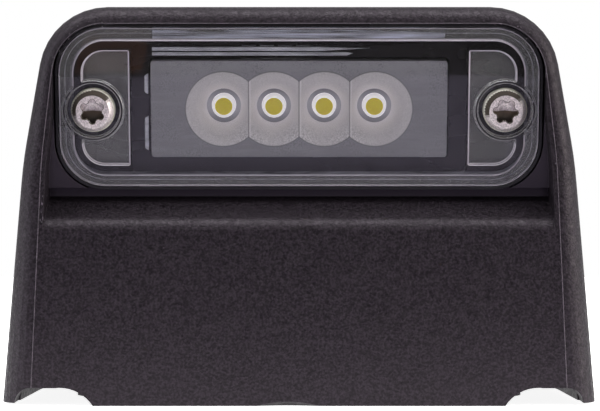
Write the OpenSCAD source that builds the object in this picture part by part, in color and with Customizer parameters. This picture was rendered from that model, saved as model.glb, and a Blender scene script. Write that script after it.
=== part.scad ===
/* [Housing] */
// Width across the feet
base_w = 90.6; // [86:0.2:100]
// Width at the waist, where the sides bend inwards
waist_w = 84.1; // [80:0.1:85]
// Width at the top, where the side and top lines meet
top_w = 75.8; // [72:0.1:78]
// Overall height
body_h = 60.5; // [58:0.5:66]
// Distance from the top down to the waist
waist_drop = 23.5; // [18:0.5:28]
// Depth of the base, front to back
base_d = 44; // [38:0.5:60]
// Depth at the top
top_d = 28; // [26:0.5:36]
// Radius of the upper corners
corner_r = 10.5; // [8:0.5:12]
// Radius that blends the sides at the waist
waist_r = 70; // [20:5:90]
// Rounding of the front edge at the base
front_round_base = 4.7; // [3:0.1:5.5]
// Rounding of the front edge at the waist
front_round_waist = 3.1; // [2:0.1:4]
// Rounding of the front edge at the top
front_round_top = 2.7; // [2:0.1:3.5]
// How far the outline draws in round the back
back_round = 12; // [8:0.5:16]
// Wall thickness of the moulding
wall = 2.4; // [1.6:0.1:3]

/* [Recess] */
// Lean of the lamp insert towards the base, in degrees
insert_tilt = 11.5; // [6:0.5:14]
// Distance from the top down to the middle of the insert's face
insert_drop = 15.4; // [15:0.1:16]
// Setback of the middle of the insert's face
insert_y = 2.8; // [2.4:0.1:4]
// Distance from the top down to where the ramp starts
ramp_drop = 32.7; // [31:0.1:34]
// Radius that rounds the foot of the ramp into the front face
ramp_round = 2.6; // [1:0.2:3.4]
// Width of the edge left round the recess
recess_edge = 0.7; // [0.4:0.1:1]
// Setback of the recess floor behind the insert's face
floor_drop = 0.6; // [0.4:0.1:1]
// Depth of the step under the insert
step_d = 2; // [1:0.1:2.6]
// Height of the step's shadow gap
step_gap = 1.7; // [1:0.1:2.2]

/* [Base] */
// Height of the two cable arches
arch_h = 2.75; // [2:0.05:4]
// Distance from the middle to each arch's flat top
arch_x = 38.35; // [36:0.05:40]
// Length of each arch's flat top
arch_flat = 4.3; // [2:0.1:5]
// Radius at the outer side of each arch
arch_outer_r = 2.6; // [2.2:0.1:3]
// Radius at the inner side of each arch
arch_inner_r = 6; // [4:0.1:8]
// Drain gap under the side walls
foot_gap = 0.4; // [0.2:0.1:0.8]
// Distance between the two fixing holes
fixing_pitch = 60; // [50:1:64]
// Diameter of a fixing boss
fixing_boss_d = 11; // [10:0.5:13]
// Height of a fixing boss
fixing_boss_h = 15; // [12:0.5:20]
// Thread diameter of the fixing bolts
fixing_bolt = 5; // [4:0.5:5]
// Length of a fixing insert
fixing_insert_l = 10; // [7:0.5:11]
// Outer diameter of a fixing insert
fixing_insert_d = 7; // [6.5:0.1:8]
// Thickness of the stiffening ribs
rib_t = 1.8; // [1.2:0.1:2.4]
// Width of the scallop where the moulding's feed was trimmed off
scallop_w = 10.4; // [6:0.2:12]
// Height of that scallop
scallop_h = 0.7; // [0.3:0.1:1]

/* [Insert] */
// Width of the clear cover
cover_w = 73.2; // [72:0.1:73.4]
// Height of the clear cover
cover_h = 24.4; // [24:0.1:24.6]
// Corner radius of the clear cover
cover_r = 7; // [5.5:0.1:9]
// Thickness of the clear cover
cover_t = 2.2; // [1.9:0.1:2.6]
// Width of the lowered border round the cover's raised field
border_w = 2.2; // [1.6:0.1:2.4]
// Drop of the lowered border
border_drop = 0.5; // [0.3:0.1:0.7]
// Width of the tray's lip outside the cover
lip_t = 0.4; // [0.3:0.05:0.5]
// Gap between neighbouring mouldings
gap = 0.15; // [0.1:0.05:0.2]
// Thickness of the tray's flange
flange_t = 3; // [2.4:0.1:3.4]
// Wall thickness of the tray's tub
tub_wall = 1.4; // [1.2:0.1:1.6]
// Thickness of the seal under the flange
seal_t = 0.8; // [0.5:0.1:1.2]
// Width of the dark window on each side of the reflector
window_side = 3; // [2:0.1:3.4]
// Height of the dark window
window_h = 20.4; // [19.8:0.1:20.6]
// Drop of the optics below the cover's middle
optics_drop = 0.5; // [0.2:0.1:0.6]

/* [Screws] */
// Distance between the two cover screws
screw_pitch = 62.8; // [62:0.1:63.4]
// Drop of the cover screws below the cover's middle
screw_drop = 0.4; // [0:0.1:0.6]
// Thread diameter of the cover screws
screw_d = 3.5; // [3:0.1:4]
// Head diameter of the cover screws
head_d = 6.8; // [6.2:0.1:7.2]
// Head height of the cover screws
head_h = 2.3; // [2:0.1:2.7]
// Length under the head
screw_l = 16; // [14:1:17]
// Depth of the counterbore in the cover
counterbore_h = 1.3; // [1:0.1:1.5]
// Gap round the head in its counterbore
head_gap = 0.75; // [0.5:0.05:0.9]
// Across the points of the six-lobe socket
socket_d = 3.3; // [2.8:0.1:3.6]
// Depth of the six-lobe socket
socket_h = 1.2; // [1:0.1:1.4]
// Depth of the drill point under the socket
socket_point_h = 0.7; // [0.4:0.1:0.8]

/* [Optics] */
// Width of the reflector's face
reflector_w = 45.4; // [45:0.1:45.8]
// Height of the reflector's face
reflector_h = 14.9; // [14.4:0.1:15.2]
// Number of bowls and of light sources
bowls = 4; // [4:1:4]
// Distance between bowls
bowl_pitch = 7.75; // [7.4:0.05:8]
// Radius of a bowl at the face
bowl_r = 5.8; // [5:0.1:6.2]
// Depth of a bowl
bowl_h = 3.6; // [3:0.1:3.9]
// Radius at the bottom of a bowl
throat_r = 2.7; // [2.4:0.1:2.8]
// Radius of the hole over each light source
eye_r = 1.9; // [1.8:0.05:1.95]
// Setback of the reflector's face behind the cover
reflector_drop = 0.8; // [0.5:0.1:1]
// Width of a light source's body
led_w = 3.8; // [3.8:0.1:4]
// Height of a light source's body
led_h = 0.8; // [0.6:0.1:0.9]
// Height of the round collar on a light source's body
collar_h = 2; // [1:0.1:2.2]
// Radius of a light source's phosphor
phosphor_r = 1.35; // [1.1:0.05:1.4]
// Thickness of the circuit board
board_t = 1.6; // [1:0.1:1.8]

/* [Hidden] */
$fn = 64;
// Overshoot of a cut past the face that it starts on
over = 1;
// Gap between pieces that only sit beside each other
fit = 0.3;
// How far a cut reaches clear of the body
clear = 6;
// The origin is under the middle of the base, on the line of the fixing holes
front = -base_d / 2;
waist_z = body_h - waist_drop;
insert_z = body_h - insert_drop;
ramp_z = body_h - ramp_drop;
window_w = reflector_w + 2 * window_side;

// Half widths at base, waist and top, then height and corner radius, of one upright section
wide_section = [base_w / 2, waist_w / 2, top_w / 2, body_h, corner_r];
front_section = wide_section
    - [front_round_base, front_round_waist, front_round_top / 2, front_round_top, 2];
inner_section = wide_section - [1, 1, 1, 1, 1] * wall;
inner_round = 2;
draft = 0.8;
// Share of the depth at which the back starts to round off
back_start = 0.6;
// How far each measure of a section draws in for each millimetre of the back's rounding
back_draw = [1, 1, 1, 1, 0.35] * back_round;
inner_draw = [1, 1, 1, 1, 0] * inner_round;
back_section = wide_section - [1, 1, 1, 1, 0] * draft;
inner_back_section = inner_section - [1, 1, 1, 1, 0] * draft;
front_steps = 6;
inner_steps = 3;
back_steps = 7;
waist_steps = 3;
corner_steps = 8;

// Levels in the insert's own frame, which has its face at 0 and counts outwards
border_level = -border_drop;
seat_level = -cover_t;
flange_level = seat_level - flange_t;
shoulder_level = flange_level - seal_t;
shoulder_t = 2.2;
reflector_level = seat_level - reflector_drop;
throat_level = reflector_level - bowl_h;
throat_h = 0.5;
eye_level = throat_level - throat_h;
eye_h = 0.3;
led_pocket_h = led_h + 0.2;
board_level = eye_level - eye_h - led_pocket_h;
ledge_level = board_level - board_t;
parts_room = 3.4;
tub_floor_level = ledge_level - parts_room;
tub_floor_t = 1.6;
tub_level = tub_floor_level - tub_floor_t;
window_drop = 1.4;
window_level = reflector_level - window_drop;
window_r = 1.6;
tray_w = cover_w + 2 * (gap + lip_t);
tray_h = cover_h + 2 * (gap + lip_t);
tray_r = cover_r + gap + lip_t;
tub_w = reflector_w + 2 * fit;
tub_h = reflector_h + 2 * fit;
tub_r = 0.6;
tub_outer_w = tub_w + 2 * tub_wall;
tub_outer_h = tub_h + 2 * tub_wall;
tub_outer_r = tub_r + tub_wall;
ledge_w = 1.3;
pocket_gap = 0.25;
collar_t = 1.8;
floor_edge = -tray_h / 2 + pocket_gap;
recess_back = 2.6;

// Cover screws and their bosses
head_level = -counterbore_h;
bore_gap = 0.25;
counterbore_r = head_d / 2 + head_gap;
screw_insert_d = 5;
screw_insert_l = 7;
screw_boss_d = 7.6;
screw_end_gap = 1;
screw_boss_floor = 1.2;
screw_boss_level = head_level - screw_l - screw_end_gap - screw_boss_floor;
socket_lobes = 6;

// Pockets moulded in the cover beside its two ends
pocket_inner_x = window_w / 2 + 0.2;
pocket_outer_x = cover_w / 2 - 3.6;
pocket_h = cover_h - 6.9;
pocket_r = 3.3;
pocket_depth = 0.9;
ring_t = 0.55;

middle_bowl = (bowls - 1) / 2;
led_cup_h = 0.6;
led_gap = 0.1;
led_bevel = 0.15;
led_bevel_h = 0.3;
led_top_level = board_level + led_h + collar_h;
phosphor_drop = 0.06;

// Staked pins that hold the reflector on the board
pin_r = 0.9;
pin_head_r = 1.4;
pin_head_h = 0.6;
pin_x = reflector_w / 2 - 3;
block_r = 0.5;

// Inlet for the leads, and the vent
grommet_r = 3;
grommet_x = reflector_w / 2 - 14.7;
grommet_lip = 0.8;
spigot_t = 1.2;
spigot_h = 3.2;
spigot_level = tub_level - spigot_h;
lead_pitch = 2.6;
lead_bore_r = 0.8;
post_r = 0.5;
vent_r = 3;
vent_bore_r = 1;
vent_t = 0.3;
vent_x = -(reflector_w / 2 - 13.7);

// Parts on the back of the board
chip_x = -(reflector_w / 2 - 8.7);
chip_y = 2.5;
resistor_x = -(reflector_w / 2 - 16.7);
resistor_y = 4;
capacitor_x = reflector_w / 2 - 8.2;
capacitor_y = 3;

// Base
web_h = fixing_boss_h - 2;
web_foot = arch_h + 1;
rib_foot_d = 3;
rib_head_d = 6;
rib_start = 2;
rib_lap = 4;
scallop_slope = 30;
scallop_x = -1.7;
scallop_reach = 3;
relief_d = base_d * 0.8;

// Straight blend and unit vector
function mix(a, b, t) = a + (b - a) * t;
function unit(v) = v / norm(v);

// Clockwise arc that rounds corner b of the path a, b, c
function fillet(a, b, c, r, steps) =
    let (
        p = unit(a - b),
        q = unit(c - b),
        half = acos(p * q) / 2,
        centre = b + unit(p + q) * r / sin(half),
        from = b + p * r / tan(half) - centre,
        start = atan2(from.y, from.x),
        turn = 180 - 2 * half
    )
    [for (i = [0:steps]) centre + r * [cos(start - turn * i / steps), sin(start - turn * i / steps)]];

// Left half of an upright section, from its foot to the top line
function half_outline(s, foot) =
    let (
        lean = (s[0] - s[1]) / waist_z,
        base = [-s[0] + lean * foot, foot],
        waist = [-s[1], waist_z],
        top = [-s[2], s[3]]
    )
    concat(
        [base],
        fillet(base, waist, top, waist_r, waist_steps),
        fillet(waist, top, [0, s[3]], s[4], corner_steps)
    );

function outline(s, foot = 0) =
    let (half = half_outline(s, foot))
    concat(half, [for (i = [len(half) - 1:-1:0]) [-half[i].x, half[i].y]]);

// Depth of the body and of its front rounding at a height
function depth_at(z) = mix(base_d, top_d, z / body_h);
function round_at(z) = mix(front_round_base, front_round_top, z / body_h);

// One ring of the outer skin: a share of the front rounding, then a share of the rest of the depth
function skin_ring(s, a, b) =
    [for (p = outline(s))
        [p.x, front + round_at(p.y) * a + (depth_at(p.y) - round_at(p.y)) * b, p.y]];

// The same for the cavity, one wall inside the skin and open at its foot
function cavity_ring(s, a, b) =
    [for (p = outline(s, -over))
        [p.x, front + wall + inner_round * a + (depth_at(p.y) - 2 * wall - inner_round) * b, p.y]];

// A skin through rings of points that mirror left and right, so each end closes in level strips
module loft(rings) {
    n = len(rings[0]);
    last = len(rings) - 1;
    polyhedron(
        points = [for (r = rings) each r],
        faces = concat(
            [for (j = [0:n / 2 - 2]) [j, j + 1, n - 2 - j, n - 1 - j]],
            [for (j = [0:n / 2 - 2]) [n - 1 - j, n - 2 - j, j + 1, j] + [1, 1, 1, 1] * last * n],
            [for (i = [0:last - 1], j = [0:n - 1])
                let (k = (j + 1) % n)
                [i * n + j, (i + 1) * n + j, (i + 1) * n + k, i * n + k]]
        ),
        convexity = 6
    );
}

module skin() {
    front_rings = [for (i = [0:front_steps])
        let (angle = 90 * i / front_steps)
        skin_ring(mix(front_section, wide_section, sin(angle)), 1 - cos(angle), 0)];
    back_rings = [for (i = [0:back_steps])
        let (angle = 90 * i / back_steps)
        skin_ring(back_section - back_draw * (1 - cos(angle)), 1, mix(back_start, 1, sin(angle)))];
    loft(concat(front_rings, back_rings));
}

module cavity() {
    front_rings = [for (i = [0:inner_steps])
        let (angle = 90 * i / inner_steps)
        cavity_ring(inner_section - inner_draw * (1 - sin(angle)), 1 - cos(angle), 0)];
    back_rings = [for (i = [0:back_steps])
        let (angle = 90 * i / back_steps)
        cavity_ring(inner_back_section - back_draw * (1 - cos(angle)), 1, mix(back_start, 1, sin(angle)))];
    loft(concat(front_rings, back_rings));
}

// Side-view point of the insert's frame: height v up its face, level w outwards
function on_insert(v, w) = [
    front + insert_y - v * sin(insert_tilt) - w * cos(insert_tilt),
    insert_z + v * cos(insert_tilt) - w * sin(insert_tilt)
];

module place_insert() {
    translate([0, front + insert_y, insert_z])
        rotate([90 + insert_tilt, 0, 0])
            children();
}

// A side-view outline carried across the body
module across(points, width) {
    rotate([90, 0, 90])
        linear_extrude(height = width, center = true)
            polygon(points);
}

module rounded_rect(w, h, r) {
    square([w - 2 * r, h], center = true);
    square([w, h - 2 * r], center = true);
    for (x = [-1, 1], y = [-1, 1])
        translate([x * (w / 2 - r), y * (h / 2 - r)])
            circle(r);
}

// A rounded block between two levels of the insert's frame
module slab(w, h, r, low, high) {
    translate([0, 0, low])
        linear_extrude(height = high - low)
            rounded_rect(w, h, r);
}

// A round pin or hole between two levels
module rod(r, low, high) {
    translate([0, 0, low])
        cylinder(r = r, h = high - low);
}

module at_screws() {
    for (x = [-1, 1])
        translate([x * screw_pitch / 2, -screw_drop, 0])
            children();
}

module at_fixings() {
    for (x = [-1, 1])
        translate([x * fixing_pitch / 2, 0, 0])
            children();
}

// Ramp, step and sloping floor, with their backs one wall behind
ramp_head = on_insert(floor_edge - step_gap, -floor_drop - step_d);
ramp_foot = [front, ramp_z];
ramp_run = unit(ramp_head - ramp_foot);
ramp_inward = [ramp_run.y, -ramp_run.x];
// The rounding starts just outside the front face
ramp_lead = 0.04;
ramp_start = ramp_foot - ramp_run * ramp_lead;
ramp_steps = 6;
recess_top = tray_h;

module recess() {
    profile = concat(
        [[front - clear, ramp_z - clear]],
        fillet(ramp_start - [0, clear], ramp_start, ramp_head, ramp_round, ramp_steps),
        [
            ramp_head,
            on_insert(floor_edge, -floor_drop - step_d),
            on_insert(floor_edge, -floor_drop),
            on_insert(recess_top, -floor_drop),
            [front - clear, insert_z + recess_top]
        ]
    );
    intersection() {
        across(profile, base_w);
        rotate([90, 0, 0])
            linear_extrude(height = base_d)
                polygon(outline(front_section - [1, 1, 1, 1, 1] * recess_edge));
    }
}

module recess_backing() {
    across([
        ramp_foot + ramp_inward * wall - ramp_run * clear,
        ramp_head + ramp_inward * wall,
        on_insert(floor_edge - step_gap, -floor_drop - step_d - wall),
        on_insert(floor_edge, -floor_drop - step_d - wall),
        on_insert(floor_edge + wall, -floor_drop - recess_back),
        on_insert(recess_top, -floor_drop - recess_back),
        [front - clear, insert_z + recess_top]
    ], base_w);
}

module collar() {
    collar_w = tray_w + 2 * (pocket_gap + collar_t);
    collar_h = tray_h + 2 * (pocket_gap + collar_t);
    place_insert() {
        slab(collar_w, collar_h, tray_r + collar_t, shoulder_level - shoulder_t, -floor_drop - over);
        at_screws()
            rod(screw_boss_d / 2, screw_boss_level, shoulder_level - over);
    }
}

module fixing_bosses() {
    at_fixings()
        cylinder(d = fixing_boss_d, h = fixing_boss_h);
    // Webs from each boss to the front and side walls
    for (side = [0, 1])
        mirror([side, 0, 0]) {
            translate([fixing_pitch / 2 - rib_t / 2, front, web_foot])
                cube([rib_t, base_d / 2, web_h - web_foot]);
            translate([fixing_pitch / 2, -rib_t / 2, web_foot])
                cube([(base_w - fixing_pitch) / 2, rib_t, web_h - web_foot]);
        }
}

// Tapered ribs that stiffen the front wall, in the middle third of its width
module front_ribs() {
    foot = front + wall + rib_foot_d;
    head = front + wall + rib_head_d;
    for (x = [-1, 1])
        translate([x * fixing_pitch / 6, 0, 0])
            across([
                [front, rib_start], [foot, rib_start], [head, ramp_z], [front, ramp_z + rib_lap]
            ], rib_t);
}

module arch_cut() {
    outer_x = arch_x + arch_flat / 2;
    inner_x = arch_x - arch_flat / 2;
    outer_drop = arch_h - arch_outer_r;
    inner_drop = arch_h - arch_inner_r;
    rotate([90, 0, 0])
        linear_extrude(height = wall + front_round_base, center = true) {
            intersection() {
                translate([outer_x, outer_drop])
                    circle(arch_outer_r);
                translate([outer_x, -over])
                    square([2 * arch_outer_r, arch_h + 2 * over]);
            }
            translate([inner_x, -over])
                square([arch_flat, arch_h + over]);
            intersection() {
                translate([inner_x, inner_drop])
                    circle(arch_inner_r);
                translate([inner_x - arch_inner_r, -over])
                    square([arch_inner_r, arch_h + 2 * over]);
            }
        }
}

module base_cuts() {
    for (side = [0, 1])
        mirror([side, 0, 0]) {
            translate([0, front + (wall + front_round_base) / 2 - over, 0])
                arch_cut();
            translate([arch_x, front - over, -over])
                cube([base_w, relief_d, over + foot_gap]);
        }
    // Scallop: the top of a wide cylinder that slopes down into the body
    scallop_r = (pow(scallop_w / 2, 2) + pow(scallop_h, 2)) / (2 * scallop_h);
    translate([scallop_x, front, scallop_h - scallop_r / cos(scallop_slope)])
        rotate([-90 - scallop_slope, 0, 0])
            translate([0, 0, -scallop_r * tan(scallop_slope) - scallop_reach])
                cylinder(r = scallop_r, h = 2 * scallop_reach);
}

// Hole for the tray's tub
module tub_hole(low, high) {
    translate([0, -optics_drop, 0])
        slab(tub_outer_w + 2 * fit, tub_outer_h + 2 * fit, tub_outer_r, low, high);
}

module housing() {
    color([0.16, 0.15, 0.16])
        difference() {
            skin();
            difference() {
                cavity();
                recess_backing();
                collar();
                fixing_bosses();
                front_ribs();
            }
            recess();
            place_insert() {
                slab(tray_w + 2 * pocket_gap, tray_h + 2 * pocket_gap, tray_r + pocket_gap,
                    shoulder_level, clear);
                tub_hole(shoulder_level - shoulder_t - over, shoulder_level + over);
                at_screws() {
                    rod(screw_insert_d / 2, shoulder_level - screw_insert_l, shoulder_level + over);
                    rod(screw_d / 2 + bore_gap, head_level - screw_l - screw_end_gap, shoulder_level);
                }
            }
            at_fixings() {
                translate([0, 0, -over])
                    cylinder(d = fixing_insert_d, h = fixing_insert_l + over);
                cylinder(d = fixing_bolt + fit, h = web_h);
            }
            base_cuts();
        }
}

// A knurled brass insert, from its mouth at 0 downwards
module brass_insert(d, bore, l) {
    inner = d / 2 - fit;
    groove_top = -0.4 * l;
    groove_foot = -0.55 * l;
    bevel = -0.9 * l;
    difference() {
        rotate_extrude()
            polygon([
                [0, 0], [d / 2, 0], [d / 2, groove_top], [inner, groove_top],
                [inner, groove_foot], [d / 2, groove_foot], [d / 2, bevel],
                [inner, -l], [0, -l]
            ]);
        translate([0, 0, -l - over])
            cylinder(d = bore, h = l + 2 * over);
    }
}

module fixing_inserts() {
    color([0.78, 0.62, 0.3])
        at_fixings()
            mirror([0, 0, 1])
                brass_insert(fixing_insert_d, fixing_bolt, fixing_insert_l);
}

module screw_inserts() {
    color([0.78, 0.62, 0.3])
        place_insert()
            at_screws()
                translate([0, 0, shoulder_level])
                    brass_insert(screw_insert_d, screw_d, screw_insert_l);
}

module insert_seal() {
    color([0.1, 0.1, 0.1])
        place_insert()
            difference() {
                slab(tray_w - 2 * fit, tray_h - 2 * fit, tray_r - fit, shoulder_level, flange_level);
                tub_hole(shoulder_level - over, flange_level + over);
                at_screws()
                    rod(screw_d / 2 + bore_gap, shoulder_level - over, flange_level + over);
            }
}

module lamp_tray() {
    color([0.12, 0.12, 0.13])
        place_insert()
            difference() {
                union() {
                    slab(tray_w, tray_h, tray_r, flange_level, -floor_drop);
                    translate([0, -optics_drop, 0])
                        slab(tub_outer_w, tub_outer_h, tub_outer_r - fit, tub_level, flange_level + over);
                    translate([grommet_x, -optics_drop, 0])
                        rod(grommet_r + spigot_t, spigot_level, tub_floor_level);
                }
                slab(cover_w + 2 * gap, cover_h + 2 * gap, cover_r + gap, seat_level, over);
                translate([0, -optics_drop, 0]) {
                    slab(window_w, window_h, window_r, window_level, over);
                    slab(tub_w, tub_h, tub_r, ledge_level, over);
                    slab(tub_w - 2 * ledge_w, tub_h - 2 * ledge_w, tub_r, tub_floor_level, over);
                    translate([grommet_x, 0, 0])
                        rod(grommet_r, spigot_level - over, tub_floor_level + over);
                    translate([vent_x, 0, 0])
                        rod(vent_bore_r, tub_level - over, tub_floor_level + over);
                }
                at_screws()
                    rod(screw_d / 2 + bore_gap, flange_level - over, over);
            }
}

// One end pocket of the cover, cut away round its screw
module end_pocket() {
    pocket_w = pocket_outer_x - pocket_inner_x;
    difference() {
        translate([pocket_inner_x + pocket_w / 2, 0, -pocket_depth])
            linear_extrude(height = pocket_depth + over)
                difference() {
                    union() {
                        rounded_rect(pocket_w, pocket_h, pocket_r);
                        translate([-pocket_w / 2, -pocket_h / 2])
                            square([pocket_w / 2, pocket_h]);
                    }
                    translate([screw_pitch / 2 - pocket_inner_x - pocket_w / 2, -screw_drop])
                        circle(counterbore_r + ring_t);
                }
    }
}

module clear_cover() {
    color([0.85, 0.88, 0.9, 0.35])
        place_insert()
            difference() {
                union() {
                    slab(cover_w, cover_h, cover_r, seat_level, border_level);
                    slab(cover_w - 2 * border_w, cover_h - 2 * border_w, cover_r - border_w, seat_level, 0);
                    at_screws()
                        rod(counterbore_r + ring_t, seat_level, 0);
                }
                for (side = [0, 1])
                    mirror([side, 0, 0])
                        end_pocket();
                at_screws() {
                    rod(counterbore_r, head_level, over);
                    rod(screw_d / 2 + bore_gap, seat_level - over, over);
                }
            }
}

// Six-lobe socket with a drill point, from its mouth downwards
module socket() {
    lobe_r = socket_d / 8;
    translate([0, 0, -socket_h - socket_point_h])
        cylinder(r1 = 0, r2 = socket_d / 2 - lobe_r, h = socket_point_h + over / 10);
    translate([0, 0, -socket_h])
        linear_extrude(height = socket_h + over) {
            circle(socket_d / 2 - lobe_r);
            for (i = [0:socket_lobes - 1])
                rotate(360 / socket_lobes * i)
                    translate([socket_d / 2 - lobe_r, 0])
                        circle(lobe_r);
        }
}

// Pan head with a crisp flat, whose shoulder steepens from one slope to the other
module pan_screw() {
    flat_r = head_d * 0.31;
    flat_slope = 30;
    rim_slope = 75;
    shoulder_r = (head_d / 2 - flat_r) / (sin(rim_slope) - sin(flat_slope));
    point_h = 0.8;
    steps = 8;
    shoulder = [for (i = [0:steps])
        let (slope = mix(rim_slope, flat_slope, i / steps))
        [flat_r, head_h] + shoulder_r * [sin(slope) - sin(flat_slope), cos(slope) - cos(flat_slope)]];
    difference() {
        rotate_extrude()
            polygon(concat(
                [[0, -screw_l], [(screw_d - point_h) / 2, -screw_l], [screw_d / 2, point_h - screw_l],
                    [screw_d / 2, 0], [head_d / 2, 0]],
                shoulder,
                [[0, head_h]]
            ));
        translate([0, 0, head_h])
            socket();
    }
}

module cover_screws() {
    color([0.75, 0.73, 0.7])
        place_insert()
            at_screws()
                translate([0, 0, head_level])
                    pan_screw();
}

module at_bowl(i) {
    translate([(i - middle_bowl) * bowl_pitch, -optics_drop, 0])
        children();
}

// Bowl, sloping throat ring and eye, as one turned cutter
module bowl_cut() {
    steps = 7;
    curve = [for (i = [0:steps])
        let (angle = 90 * i / steps)
        [throat_r + (bowl_r - throat_r) * (1 - cos(angle)), throat_level + bowl_h * sin(angle)]];
    rotate_extrude()
        polygon(concat(
            [[0, board_level - over], [eye_r, board_level - over], [eye_r, eye_level]],
            curve,
            [[bowl_r, reflector_level + over], [0, reflector_level + over]]
        ));
}

module reflector() {
    color([0.6, 0.6, 0.6])
        place_insert() {
            difference() {
                translate([0, -optics_drop, 0])
                    slab(reflector_w, reflector_h, block_r, board_level, reflector_level);
                for (i = [0:bowls - 1]) {
                    at_bowl(i)
                        bowl_cut();
                    at_bowl(i)
                        translate([0, 0, board_level + (led_pocket_h - over) / 2])
                            cube([led_w + 2 * fit, led_w + 2 * fit, led_pocket_h + over], center = true);
                }
            }
            // Pins through the board, with staked heads
            for (x = [-1, 1])
                translate([x * pin_x, -optics_drop, 0]) {
                    rod(pin_r, ledge_level - pin_head_h / 2, board_level);
                    rod(pin_head_r, ledge_level - pin_head_h, ledge_level);
                }
        }
}

module circuit_board() {
    color([0.1, 0.35, 0.2])
        place_insert()
            translate([0, -optics_drop, 0])
                difference() {
                    slab(tub_w - fit, tub_h - fit, block_r, ledge_level, board_level);
                    for (x = [-1, 1])
                        translate([x * pin_x, 0, 0])
                            rod(pin_r + gap / 3, ledge_level - over, board_level + over);
                }
}

// A square body with a round collar, whose bevelled top holds the phosphor's cup
module led(i) {
    collar_base_r = eye_r - led_gap;
    bevel_level = led_top_level - led_bevel_h;
    color([0.92, 0.92, 0.9])
        place_insert()
            at_bowl(i)
                difference() {
                    union() {
                        translate([-led_w / 2, -led_w / 2, board_level])
                            cube([led_w, led_w, led_h]);
                        rod(collar_base_r, board_level, bevel_level);
                        translate([0, 0, bevel_level])
                            cylinder(r1 = collar_base_r, r2 = collar_base_r - led_bevel, h = led_bevel_h);
                    }
                    rod(phosphor_r, led_top_level - led_cup_h, led_top_level + over);
                }
}

module phosphor(i) {
    color([0.8, 0.7, 0.2])
        place_insert()
            at_bowl(i)
                rod(phosphor_r, led_top_level - led_cup_h, led_top_level - phosphor_drop);
}

// A block-shaped component on the back of the board
module chip(x, y, size) {
    place_insert()
        translate([x, y - optics_drop, ledge_level - size.z / 2])
            cube(size, center = true);
}

module driver_chip() {
    body = [5, 4, 1.5];
    stand_off = 0.1;
    pin = [0.4, 1.1, 0.6];
    pin_pitch = 1.27;
    pin_lap = 0.5;
    color([0.12, 0.12, 0.12])
        place_insert()
            translate([0, -optics_drop, ledge_level]) {
                translate([-body.x / 2, -body.y / 2, -body.z - stand_off])
                    cube(body);
                for (side = [0, 1], i = [-1.5:1:1.5])
                    mirror([0, side, 0])
                        translate([i * pin_pitch - pin.x / 2, body.y / 2 - pin_lap, -pin.z])
                            cube(pin);
            }
}

module input_diode() {
    color([0.15, 0.15, 0.15])
        chip(chip_x, chip_y, [4.3, 2.6, 2]);
}

module surge_suppressor() {
    color([0.15, 0.15, 0.15])
        chip(chip_x, -chip_y, [4.5, 3.6, 2.3]);
}

module resistor(side) {
    color([0.2, 0.2, 0.2])
        chip(resistor_x, side * resistor_y, [3.2, 1.6, 0.6]);
}

module capacitor(side) {
    color([0.6, 0.5, 0.35])
        chip(capacitor_x, side * capacitor_y, [3.2, 2.5, 1.8]);
}

// Where the two leads pass, at the inlet and at the posts on the board
module at_leads() {
    for (side = [-1, 1])
        translate([grommet_x, side * lead_pitch / 2 - optics_drop, 0])
            children();
}

module wire_posts() {
    color([0.8, 0.78, 0.7])
        place_insert()
            at_leads()
                rod(post_r, tub_floor_level + 2 * fit, ledge_level);
}

module cable_grommet() {
    color([0.12, 0.12, 0.12])
        place_insert()
            difference() {
                translate([grommet_x, -optics_drop, 0]) {
                    rod(grommet_r, spigot_level, tub_floor_level);
                    rod(grommet_r + spigot_t, spigot_level - grommet_lip, spigot_level);
                }
                at_leads()
                    rod(lead_bore_r, spigot_level - grommet_lip - over, tub_floor_level + over);
            }
}

module vent_membrane() {
    color([0.85, 0.85, 0.85])
        place_insert()
            translate([vent_x, -optics_drop, 0])
                rod(vent_r, tub_level - vent_t, tub_level);
}

housing();
fixing_inserts();
screw_inserts();
insert_seal();
lamp_tray();
clear_cover();
cover_screws();
reflector();
circuit_board();
led(0);  // led_1
led(1);  // led_2
led(2);  // led_3
led(3);  // led_4
phosphor(0);  // phosphor_1
phosphor(1);  // phosphor_2
phosphor(2);  // phosphor_3
phosphor(3);  // phosphor_4
driver_chip();
input_diode();
surge_suppressor();
resistor(1);  // resistor_1
resistor(-1);  // resistor_2
capacitor(1);  // capacitor_1
capacitor(-1);  // capacitor_2
wire_posts();
cable_grommet();
vent_membrane();
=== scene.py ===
"""Number plate lamp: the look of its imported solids, laid out as a Blender add-on and run as a script."""
import math
import random

import bmesh
import bpy
from bpy.props import FloatProperty, FloatVectorProperty, IntProperty, PointerProperty
from bpy.types import NodeSocket, Operator, Panel, PropertyGroup, Scene
from mathutils import Matrix, Vector


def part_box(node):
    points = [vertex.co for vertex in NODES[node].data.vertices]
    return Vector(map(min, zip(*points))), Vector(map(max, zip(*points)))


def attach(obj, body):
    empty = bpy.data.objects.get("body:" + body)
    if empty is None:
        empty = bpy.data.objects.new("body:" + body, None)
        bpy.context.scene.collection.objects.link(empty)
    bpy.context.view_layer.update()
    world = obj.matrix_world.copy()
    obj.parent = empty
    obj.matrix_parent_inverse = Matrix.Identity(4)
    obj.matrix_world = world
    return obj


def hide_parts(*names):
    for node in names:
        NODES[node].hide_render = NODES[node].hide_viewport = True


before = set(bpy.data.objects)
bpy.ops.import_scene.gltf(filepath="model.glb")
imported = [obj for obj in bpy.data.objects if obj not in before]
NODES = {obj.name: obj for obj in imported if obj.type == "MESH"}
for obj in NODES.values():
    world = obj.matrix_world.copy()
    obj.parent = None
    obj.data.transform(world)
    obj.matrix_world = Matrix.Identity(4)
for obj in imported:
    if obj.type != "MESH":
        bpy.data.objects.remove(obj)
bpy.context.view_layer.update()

bl_info = {
    "name": "Number Plate Lamp",
    "version": (1, 0, 0),
    "blender": (4, 5, 0),
    "location": "3D View > Sidebar > Lamp",
    "description": "Dresses the solids of a number plate lamp with bevels, grain, clear plastic and metal",
    "category": "Object",
}

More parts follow.
